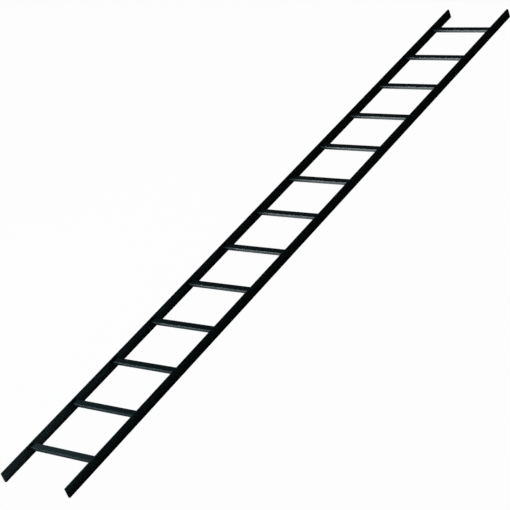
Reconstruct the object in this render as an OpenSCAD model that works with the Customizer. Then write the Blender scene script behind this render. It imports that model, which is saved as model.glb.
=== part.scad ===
// Cable ladder section: two rectangular tube stringers, with rectangular tube rungs
// butted between them and held by fillet welds.
// X runs along the ladder, Y across it with the left stringer at +Y, and Z is up. The
// origin is at the middle of the ladder, level with the underside of the stringers.
// All sizes are in millimetres.

/* [Ladder] */
// Number of rungs
rung_count = 13; // [2:1:40]
// Distance between the centre lines of neighbouring rungs
rung_pitch = 228.6; // [76.2:0.1:457.2]
// Distance from a stringer's end to the centre line of the nearest rung
end_run = 152.4; // [50.8:0.1:304.8]
// Width of the ladder over the outer sides of the stringers
ladder_width = 304.8; // [101.6:0.1:914.4]

/* [Stringers] */
// Height of the stringer tube
stringer_height = 38.1; // [31.8:0.1:76.2]
// Thickness of the stringer tube, across the ladder
stringer_thickness = 9.525; // [7:0.005:25.4]
// Wall of the stringer tube
stringer_wall = 1.651; // [0.9:0.001:2.5]
// Radius of the stringer tube's outer corners
stringer_corner = 2; // [0.5:0.05:3]

/* [Rungs] */
// Width of the rung tube, along the ladder
rung_width = 25.4; // [12.7:0.1:38.1]
// Height of the rung tube
rung_height = 12.7; // [10:0.1:19]
// Wall of the rung tube
rung_wall = 1.651; // [0.9:0.001:2.5]
// Radius of the rung tube's outer corners
rung_corner = 2; // [0.5:0.05:3]
// Depth of the rungs' top below the stringers' top
rung_drop = 6.35; // [0:0.05:12]

/* [Welds] */
// Leg of the fillet weld on each flank of a rung's end
weld_leg = 3.5; // [2:0.1:4.5]
// Distance from the rung's top and underside to the ends of the weld
weld_inset = 1; // [0:0.1:1.5]
// Depth to which the weld is burnt into the rung's wall
weld_root = 0.6; // [0.2:0.1:0.8]

/* [Hidden] */
$fn = 48;
ladder_length = (rung_count - 1) * rung_pitch + 2 * end_run;
stringer_y = (ladder_width - stringer_thickness) / 2;
rung_length = ladder_width - 2 * stringer_thickness;
rung_z = stringer_height - rung_drop - rung_height / 2;
weld_length = rung_height - 2 * weld_inset;
weld_straight = weld_length - 2 * weld_leg;

function two_digits(number) = number < 10 ? str("0", number) : str(number);
function rung_name(number) = str("rung_", two_digits(number));
function rung_x(number) = (number - 1) * rung_pitch - (ladder_length / 2 - end_run);

// Rectangle with rounded corners, centred
module rounded_rectangle(width, height, radius) {
    if (radius > 0) {
        square([width - 2 * radius, height], center = true);
        square([width, height - 2 * radius], center = true);
        for (x = [-1, 1], y = [-1, 1])
            translate([x * (width / 2 - radius), y * (height / 2 - radius)]) circle(r = radius);
    } else {
        square([width, height], center = true);
    }
}

// Cross section of a cold-formed rectangular tube
module tube_section(width, height, wall, corner) {
    difference() {
        rounded_rectangle(width, height, corner);
        rounded_rectangle(width - 2 * wall, height - 2 * wall, corner - wall);
    }
}

// Stringer tube, open at both ends; side is 1 for the left one and -1 for the right one
module stringer(side) {
    color("#14191b")
        translate([0, side * stringer_y, stringer_height / 2])
            rotate([90, 0, 90])
                linear_extrude(ladder_length, center = true)
                    tube_section(stringer_thickness, stringer_height, stringer_wall, stringer_corner);
}

// Fillet weld in the corner between a rung's flank and a stringer's inner side: a quarter
// round with domed ends, whose corner line stands on the origin
module weld_bead() {
    intersection() {
        union() {
            cylinder(h = weld_straight, r = weld_leg, center = true);
            for (end = [-1, 1])
                translate([0, 0, end * weld_straight / 2]) sphere(r = weld_leg);
        }
        translate([-weld_root, -weld_leg, -weld_length / 2])
            cube([weld_root + weld_leg, weld_leg, weld_length]);
    }
}

// Rung tube with the four welds that hold it, counted from the -X end
module rung(number) {
    color("#1c2224")
        translate([rung_x(number), 0, rung_z]) {
            rotate([90, 0, 0])
                linear_extrude(rung_length, center = true)
                    tube_section(rung_width, rung_height, rung_wall, rung_corner);
            for (flank = [0, 1], end = [0, 1])
                mirror([flank, 0, 0])
                    mirror([0, end, 0])
                        translate([rung_width / 2, rung_length / 2, 0]) weld_bead();
        }
}

stringer(1);  // stringer_left
stringer(-1);  // stringer_right
for (number = [1:rung_count])
    rung(number);
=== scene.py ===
import math

import bpy
from mathutils import Matrix, Quaternion, Vector


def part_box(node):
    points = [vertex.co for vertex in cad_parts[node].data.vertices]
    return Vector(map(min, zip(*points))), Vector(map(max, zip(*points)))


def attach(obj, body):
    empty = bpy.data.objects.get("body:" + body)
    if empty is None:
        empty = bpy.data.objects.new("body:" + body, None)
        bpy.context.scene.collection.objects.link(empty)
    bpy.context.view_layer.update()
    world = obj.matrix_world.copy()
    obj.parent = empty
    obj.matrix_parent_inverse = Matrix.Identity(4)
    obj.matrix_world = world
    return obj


# A straight section of welded cable ladder. The stringers and rungs come from the frame, and
# this script adds the rippled weld beads at the rungs' ends, the powder coat, the floor, the
# lamps and the camera.
# Sizes are in metres and angles in degrees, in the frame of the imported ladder: X along it,
# Y across it, Z up, with the floor at Z = 0. Azimuths turn from +X towards +Y.
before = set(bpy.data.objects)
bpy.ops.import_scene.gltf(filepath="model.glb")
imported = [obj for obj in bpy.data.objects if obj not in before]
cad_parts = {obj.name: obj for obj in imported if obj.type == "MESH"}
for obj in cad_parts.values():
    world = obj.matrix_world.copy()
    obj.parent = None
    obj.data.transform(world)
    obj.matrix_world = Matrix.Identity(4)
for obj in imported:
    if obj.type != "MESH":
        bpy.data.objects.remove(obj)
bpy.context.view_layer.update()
RUNGS = sorted(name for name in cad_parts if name.startswith("rung_"))

# Fillet welds at the rungs' ends: how long the legs are, how high the bead is, how far its
# ripples stand out, how deep it lies in the tubes, and its radius at the tips as a share
WELD_LEG = 0.0035
WELD_HEIGHT = 0.0115
WELD_PROUD = 0.0005
WELD_SINK = 0.0006
WELD_TIP = 0.4
RIPPLE_COUNT = 6
RINGS_PER_RIPPLE = 4
WELD_SIDES = 24
WELD_CREASE = 50

# Powder coat: its two tones and its range of roughness, which drift in wide clouds, and the
# orange peel on it
COAT_SLOT = "black_powder_coat"
COAT_TONES = ((0.0010, 0.0070, 0.0092, 1), (0.0022, 0.0092, 0.0118, 1))
COAT_ROUGHNESS = (0.53, 0.59)
COAT_SPECULAR = 1
COAT_TINT = (0.92, 0.98, 1, 1)
CLOUD_SCALE = 9
CLOUD_DETAIL = 4
PEEL_SCALE = 700
PEEL_DETAIL = 2
PEEL_STRENGTH = 0.25
PEEL_DEPTH = 0.00006

# The camera, and the point on the ladder that it looks at
CAMERA_AIM = Vector((-0.2539, -0.0180, 0.0211))
CAMERA_AZIMUTH = -133.74
CAMERA_ELEVATION = 29.90
CAMERA_DISTANCE = 6.204
CAMERA_ROLL = -21.36
CAMERA_LENS = 119.65
CAMERA_REACH = 100

# Floor and surroundings: how white the camera and reflections see them, and the light they give
FLOOR_SIZE = 60
FLOOR_WHITE = 0.9
SEEN_WHITE = 0.98
REFLECTED_WHITE = 0.006
ROOM_LIGHT = 0.006

# Colour of the soft lamps, a cool white
COOL_WHITE = (0.6, 0.94, 1)


def direction(azimuth, elevation):
    """Unit vector at an azimuth from +X and an elevation above the floor."""
    level = math.cos(math.radians(elevation))
    return Vector((
        level * math.cos(math.radians(azimuth)),
        level * math.sin(math.radians(azimuth)),
        math.sin(math.radians(elevation)),
    ))


def facing(outward):
    """Turn of a camera or lamp that stands along outward and looks back."""
    return (-outward).to_track_quat("-Z", "Y")


def add_camera():
    """The scene's camera, rolled so that the ladder rises steeply across the picture."""
    outward = direction(CAMERA_AZIMUTH, CAMERA_ELEVATION)
    bpy.ops.object.camera_add(location=CAMERA_AIM + CAMERA_DISTANCE * outward)
    camera = bpy.context.object
    camera.rotation_mode = "QUATERNION"
    roll = Quaternion((0, 0, 1), math.radians(CAMERA_ROLL))
    camera.rotation_quaternion = facing(outward) @ roll
    camera.data.lens = CAMERA_LENS
    camera.data.clip_end = CAMERA_REACH
    bpy.context.scene.camera = camera


def new_material(name):
    """An empty node material, with its nodes and links."""
    material = bpy.data.materials.new(name)
    material.use_nodes = True
    material.node_tree.nodes.clear()
    return material, material.node_tree.nodes, material.node_tree.links


def math_node(nodes, links, operation, first, second):
    """A Math node on two sockets or numbers; returns its output socket."""
    node = nodes.new("ShaderNodeMath")
    node.operation = operation
    for value, socket in zip((first, second), node.inputs):
        if isinstance(value, (int, float)):
            socket.default_value = value
        else:
            links.new(value, socket)
    return node.outputs["Value"]


def noise(nodes, links, place, scale, detail):
    """A noise pattern on the coordinates place; returns its output socket, from 0 to 1."""
    node = nodes.new("ShaderNodeTexNoise")
    node.inputs["Scale"].default_value = scale
    node.inputs["Detail"].default_value = detail
    links.new(place, node.inputs["Vector"])
    return node.outputs["Fac"]


def powder_coat():
    """Semi-gloss black powder coat: orange peel, and a little unevenness in gloss and tone."""
    material, nodes, links = new_material(COAT_SLOT)
    output = nodes.new("ShaderNodeOutputMaterial")
    shader = nodes.new("ShaderNodeBsdfPrincipled")
    shader.inputs["Specular IOR Level"].default_value = COAT_SPECULAR
    shader.inputs["Specular Tint"].default_value = COAT_TINT
    place = nodes.new("ShaderNodeTexCoord").outputs["Object"]
    cloud = noise(nodes, links, place, CLOUD_SCALE, CLOUD_DETAIL)

    tone = nodes.new("ShaderNodeMix")
    tone.data_type = "RGBA"
    tone.inputs["A"].default_value, tone.inputs["B"].default_value = COAT_TONES
    links.new(cloud, tone.inputs["Factor"])
    links.new(tone.outputs["Result"], shader.inputs["Base Color"])

    gloss = nodes.new("ShaderNodeMapRange")
    gloss.inputs["To Min"].default_value, gloss.inputs["To Max"].default_value = COAT_ROUGHNESS
    links.new(cloud, gloss.inputs["Value"])
    links.new(gloss.outputs["Result"], shader.inputs["Roughness"])

    bump = nodes.new("ShaderNodeBump")
    bump.inputs["Strength"].default_value = PEEL_STRENGTH
    bump.inputs["Distance"].default_value = PEEL_DEPTH
    links.new(noise(nodes, links, place, PEEL_SCALE, PEEL_DETAIL), bump.inputs["Height"])
    links.new(bump.outputs["Normal"], shader.inputs["Normal"])

    links.new(shader.outputs["BSDF"], output.inputs["Surface"])
    return material


def plain_white(nodes, links):
    """Share of plain white that a ray meets: the camera almost all of it, a reflection a little."""
    ray = nodes.new("ShaderNodeLightPath").outputs
    seen = math_node(nodes, links, "MULTIPLY", ray["Is Camera Ray"], SEEN_WHITE)
    mirrored = math_node(nodes, links, "ADD", ray["Is Glossy Ray"], ray["Is Transmission Ray"])
    mirrored = math_node(nodes, links, "MULTIPLY", mirrored, REFLECTED_WHITE)
    return math_node(nodes, links, "ADD", seen, mirrored)


def white_floor():
    """White paint that the camera sees almost without shading, with a trace of shadow on it."""
    material, nodes, links = new_material("white_floor")
    output = nodes.new("ShaderNodeOutputMaterial")
    paint = nodes.new("ShaderNodeBsdfDiffuse")
    paint.inputs["Color"].default_value = (FLOOR_WHITE, FLOOR_WHITE, FLOOR_WHITE, 1)
    white = nodes.new("ShaderNodeEmission")
    share = nodes.new("ShaderNodeMixShader")
    links.new(plain_white(nodes, links), share.inputs["Fac"])
    links.new(paint.outputs["BSDF"], share.inputs[1])
    links.new(white.outputs["Emission"], share.inputs[2])
    links.new(share.outputs["Shader"], output.inputs["Surface"])
    return material


def add_floor():
    """The level floor that the ladder lies on."""
    bpy.ops.mesh.primitive_plane_add(size=FLOOR_SIZE)
    floor = bpy.context.object
    floor.name = "floor"
    floor.data.materials.append(white_floor())


def add_room():
    """White surroundings that light the ladder only faintly."""
    world = bpy.data.worlds.new("room")
    world.use_nodes = True
    nodes = world.node_tree.nodes
    links = world.node_tree.links
    level = math_node(nodes, links, "MAXIMUM", plain_white(nodes, links), ROOM_LIGHT)
    links.new(level, nodes["Background"].inputs["Strength"])
    nodes["Background"].inputs["Color"].default_value = (1, 1, 1, 1)
    bpy.context.scene.world = world


def add_lamp(kind, name, power, aim, azimuth, elevation, distance):
    """A lamp that stands at a distance from its aim and shines at it."""
    outward = direction(azimuth, elevation)
    bpy.ops.object.light_add(type=kind, location=Vector(aim) + distance * outward)
    lamp = bpy.context.object
    lamp.name = name
    lamp.rotation_euler = facing(outward).to_euler()
    lamp.data.energy = power
    return lamp


def add_soft_lamp(name, size, power, **place):
    """A round, cool white lamp that the camera doesn't see."""
    lamp = add_lamp("AREA", name, power, **place)
    lamp.visible_camera = False
    lamp.data.shape = "DISK"
    lamp.data.size = size
    lamp.data.color = COOL_WHITE


def add_spot(name, radius, cone, power, **place):
    """A spot lamp that fades out from the middle of its cone to the edge."""
    lamp = add_lamp("SPOT", name, power, **place)
    lamp.data.shadow_soft_size = radius
    lamp.data.spot_size = math.radians(cone)
    lamp.data.spot_blend = 1


def deselect():
    """Leave nothing selected, because operators act on all that is."""
    bpy.ops.object.select_all(action="DESELECT")


def weld_radius(part):
    """Radius of a weld bead at a part of its height, from 0 to 1: ripples between domed ends."""
    from_end = (0.5 - abs(part - 0.5)) * WELD_HEIGHT / WELD_LEG
    dome = math.sqrt(1 - (1 - min(from_end, 1)) ** 2)
    ripple = abs(math.sin(math.pi * part * RIPPLE_COUNT))
    return max(dome, WELD_TIP) * (WELD_LEG + WELD_PROUD * ripple)


def weld_bead():
    """One bead, modelled on the Z axis: a rippled quarter round that reaches to +X and -Y."""
    deselect()
    ring_count = RIPPLE_COUNT * RINGS_PER_RIPPLE
    step = WELD_HEIGHT / ring_count
    radii = [weld_radius(ring / ring_count) for ring in range(ring_count + 1)]
    bpy.ops.mesh.primitive_circle_add(vertices=WELD_SIDES, radius=radii[0], fill_type="NGON")
    bead = bpy.context.object
    bpy.ops.object.mode_set(mode="EDIT")
    for before, after in zip(radii, radii[1:]):
        growth = after / before
        bpy.ops.mesh.extrude_region_move(TRANSFORM_OT_translate={"value": (0, 0, step)})
        bpy.ops.transform.resize(value=(growth, growth, 1))
    for point, normal in (((-WELD_SINK, 0, 0), (1, 0, 0)), ((0, WELD_SINK, 0), (0, -1, 0))):
        bpy.ops.mesh.select_all(action="SELECT")
        bpy.ops.mesh.bisect(plane_co=point, plane_no=normal, use_fill=True, clear_inner=True)
    bpy.ops.mesh.select_all(action="SELECT")
    bpy.ops.transform.translate(value=(0, 0, -WELD_HEIGHT / 2))
    bpy.ops.mesh.normals_make_consistent(inside=False)
    bpy.ops.object.mode_set(mode="OBJECT")
    bpy.ops.object.shade_smooth_by_angle(angle=math.radians(WELD_CREASE))
    return bead


def weld_copy(bead, corner, flank, end):
    """A copy of the bead at a rung's corner, mirrored to its flank and its end."""
    copy = bpy.data.objects.new("weld", bead.data.copy())
    bpy.context.scene.collection.objects.link(copy)
    copy.data.transform(Matrix.Translation(corner) @ Matrix.Diagonal((flank, end, 1, 1)))
    if flank * end < 0:
        copy.data.flip_normals()
    return copy


def add_rung_welds(bead, rung, coat):
    """The four beads that hold a rung, as one piece."""
    low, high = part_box(rung)
    centre = (low + high) / 2
    reach = (high - low) / 2 - Vector((WELD_LEG, 0, 0))
    deselect()
    for flank in (-1, 1):
        for end in (-1, 1):
            corner = centre + Vector((flank * reach.x, end * reach.y, 0))
            copy = weld_copy(bead, corner, flank, end)
            copy.select_set(True)
            bpy.context.view_layer.objects.active = copy
    bpy.ops.object.join()
    welds = bpy.context.object
    welds.name = rung + "_welds"
    welds.data.materials.clear()
    welds.data.materials.append(coat)
    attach(welds, "root")


add_camera()
add_floor()
add_room()
bpy.context.scene.view_settings.view_transform = "Standard"
add_spot("key", radius=0.5, cone=18, power=3750, aim=(1.1, 0, 0), azimuth=150, elevation=5, distance=8)
add_spot("along", radius=0.5, cone=10, power=1050, aim=(1.4, 0, 0), azimuth=172, elevation=5, distance=8)
add_soft_lamp("soft", size=0.8, power=14, aim=(0.7, 0, 0), azimuth=148, elevation=22, distance=3)
add_soft_lamp("near_end", size=0.3, power=0.45, aim=(-1.45, 0, 0.03), azimuth=90, elevation=60, distance=0.6)

coat = powder_coat()
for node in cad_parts.values():
    for material_slot in node.material_slots:
        material_slot.material = coat

bead = weld_bead()
for rung in RUNGS:
    add_rung_welds(bead, rung, coat)
bpy.data.objects.remove(bead)
